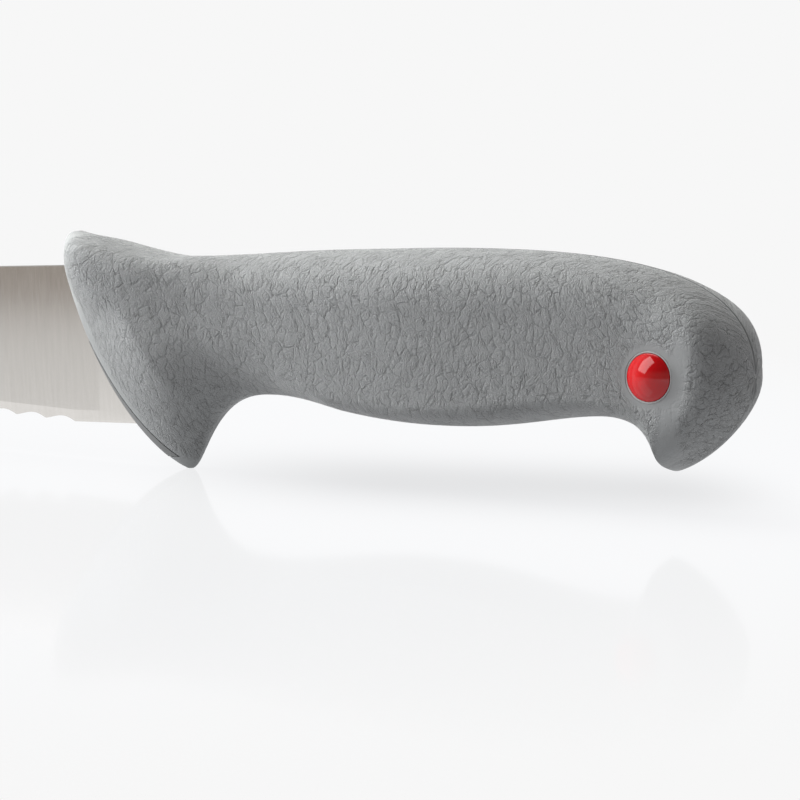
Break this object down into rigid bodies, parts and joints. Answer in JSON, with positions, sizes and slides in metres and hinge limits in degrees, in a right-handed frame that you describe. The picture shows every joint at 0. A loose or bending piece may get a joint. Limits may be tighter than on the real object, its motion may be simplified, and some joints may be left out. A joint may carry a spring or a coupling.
{
  "type": "pastry knife",
  "caption": "Long scalloped pastry knife with a hooked soft-grip handle moulded over a hard core and push-in colour plugs at the butt.",
  "frame": {"origin": "on the floor under the middle of the overall length, in the middle plane of the blade, with the guard's foot on the floor and the spine level", "axes": "+X from the tip to the butt, +Y from the pictured side to the far side, +Z from the edge to the spine"},
  "size_m": [0.3874, 0.0268, 0.0442],
  "materials": {
    "blade_steel": "satin, brushed across the blade, with a bright ground edge",
    "hard_core": "smooth moulded hard plastic",
    "soft_grip": "soft moulded skin with a fine leather-like grain",
    "bush_plastic": "smooth moulded plastic ring",
    "plug_red": "polished domed head"
  },
  "bodies": {
    "knife": {"blade": "blade_steel", "core_near": "hard_core", "core_far": "hard_core", "grip_near": "soft_grip", "grip_far": "soft_grip", "plug_bush": "bush_plastic"},
    "plug_near": {"plug_near": "plug_red"},
    "plug_far": {"plug_far": "plug_red"}
  },
  "joints": [
    {"name": "plug_near_pull", "type": "slide", "parent": "knife", "child": "plug_near", "axis": [0, -1, 0], "range_m": [0, 0.014]},
    {"name": "plug_far_pull", "type": "slide", "parent": "knife", "child": "plug_far", "axis": [0, 1, 0], "range_m": [0, 0.014]}
  ]
}
